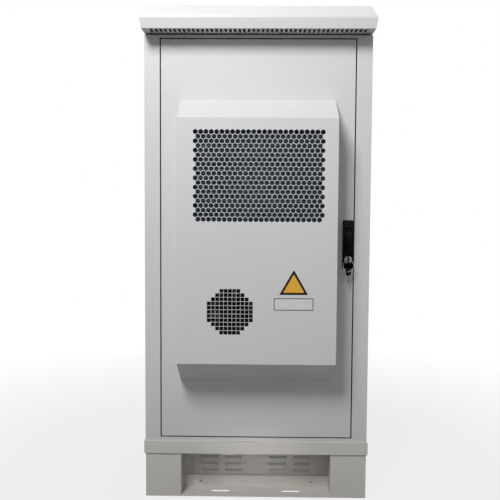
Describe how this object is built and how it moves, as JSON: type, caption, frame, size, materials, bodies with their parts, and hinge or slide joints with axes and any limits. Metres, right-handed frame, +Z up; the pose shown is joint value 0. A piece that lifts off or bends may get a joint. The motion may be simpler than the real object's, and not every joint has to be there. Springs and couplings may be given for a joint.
{
  "type": "roadside utility cabinet",
  "caption": "Tall outdoor equipment cabinet on a plinth, with a rain hood, a lockable front door and a door-mounted air conditioner.",
  "frame": {"origin": "on the floor, at the centre of the four anchor slots of the plinth", "axes": "+Z up, front and door towards -Y, +X to the right seen from the front"},
  "size_m": [0.758, 0.874, 1.629],
  "materials": {
    "powder_coat": "matt light grey powder coat with a fine orange peel",
    "zinc_sheet": "zinc coated sheet, dull",
    "black_plastic": "matt black moulding",
    "standoff_plastic": "matt red moulding",
    "copper": "bare copper, satin",
    "seal_rubber": "matt black foam rubber",
    "coil_fins": "bright finned aluminium",
    "compressor_paint": "satin black paint",
    "lock_black": "satin black die cast zinc",
    "key_steel": "bright nickel plate"
  },
  "bodies": {
    "cabinet": {"foot_front_left": "powder_coat", "foot_front_right": "powder_coat", "foot_rear_left": "powder_coat", "foot_rear_right": "powder_coat", "base_angle_front": "powder_coat", "base_angle_rear": "powder_coat", "plinth_panel_front": "powder_coat", "plinth_panel_rear": "powder_coat", "plinth_panel_left": "powder_coat", "plinth_panel_right": "powder_coat", "vent_plate_left": "powder_coat", "vent_plate_right": "powder_coat", "base_frame": "powder_coat", "floor_panel": "zinc_sheet", "gland_plate": "zinc_sheet", "cable_glands": "black_plastic", "front_post_left": "powder_coat", "front_post_right": "powder_coat", "front_top_rail": "powder_coat", "front_bottom_rail": "powder_coat", "side_panel_left": "powder_coat", "side_panel_right": "powder_coat", "rear_panel": "powder_coat", "roof_panel": "powder_coat", "canopy_hood": "powder_coat", "canopy_soffit": "powder_coat", "canopy_bearers": "zinc_sheet", "rail_bearers": "zinc_sheet", "rack_rail_front_left": "zinc_sheet", "rack_rail_front_right": "zinc_sheet", "rack_rail_rear_left": "zinc_sheet", "rack_rail_rear_right": "zinc_sheet", "equipment_shelf": "zinc_sheet", "ground_bar": "copper", "ground_standoffs": "standoff_plastic", "door_gasket": "seal_rubber", "hinge_pins": "zinc_sheet"},
    "door": {"door_panel": "powder_coat", "hinge_brackets": "zinc_sheet", "ac_cover": "powder_coat", "ac_chassis": "zinc_sheet", "ac_inner_cover": "zinc_sheet", "condenser_coil": "coil_fins", "evaporator_coil": "coil_fins", "compressor": "compressor_paint", "condenser_fan_housing": "black_plastic", "evaporator_fan_housing": "black_plastic", "lock_plate": "lock_black", "lock_case": "zinc_sheet"},
    "handle": {"handle_boss": "lock_black"},
    "lever": {"handle_lever": "lock_black"},
    "rod_top": {"lock_rod_top": "zinc_sheet"},
    "rod_bottom": {"lock_rod_bottom": "zinc_sheet"},
    "key": {"door_key": "key_steel", "key_ring": "key_steel", "spare_key": "key_steel"},
    "condenser_rotor": {"condenser_fan": "black_plastic"},
    "evaporator_rotor": {"evaporator_fan": "black_plastic"}
  },
  "joints": [
    {"name": "door_swing", "type": "hinge", "parent": "cabinet", "child": "door", "pos_m": [-0.308, -0.367, 0.87325], "axis": [0, 0, -1], "range_deg": [0, 115]},
    {"name": "handle_turn", "type": "hinge", "parent": "door", "child": "handle", "pos_m": [0.302, -0.383, 0.925], "axis": [0, -1, 0], "range_deg": [0, 90]},
    {"name": "handle_lift", "type": "hinge", "parent": "handle", "child": "lever", "pos_m": [0.302, -0.3918, 0.925], "axis": [-1, 0, 0], "range_deg": [0, 25]},
    {"name": "rod_top_slide", "type": "slide", "parent": "door", "child": "rod_top", "axis": [0, 0, 1], "range_m": [0, 0.0112]},
    {"name": "rod_bottom_slide", "type": "slide", "parent": "door", "child": "rod_bottom", "axis": [0, 0, -1], "range_m": [0, 0.0112]},
    {"name": "key_turn", "type": "hinge", "parent": "door", "child": "key", "pos_m": [0.302, -0.389, 0.815], "axis": [0, -1, 0], "range_deg": [0, 90]},
    {"name": "condenser_spin", "type": "hinge", "parent": "door", "child": "condenser_rotor", "pos_m": [-0.091, -0.47, 0.654], "axis": [0, 1, 0], "continuous": true},
    {"name": "evaporator_spin", "type": "hinge", "parent": "door", "child": "evaporator_rotor", "pos_m": [0, -0.25, 0.62], "axis": [0, 1, 0], "continuous": true}
  ],
  "couplings": [
    {"joint": "rod_top_slide", "follows": "handle_turn", "m_per_rad": 0.007003},
    {"joint": "rod_bottom_slide", "follows": "handle_turn", "m_per_rad": 0.007003}
  ]
}
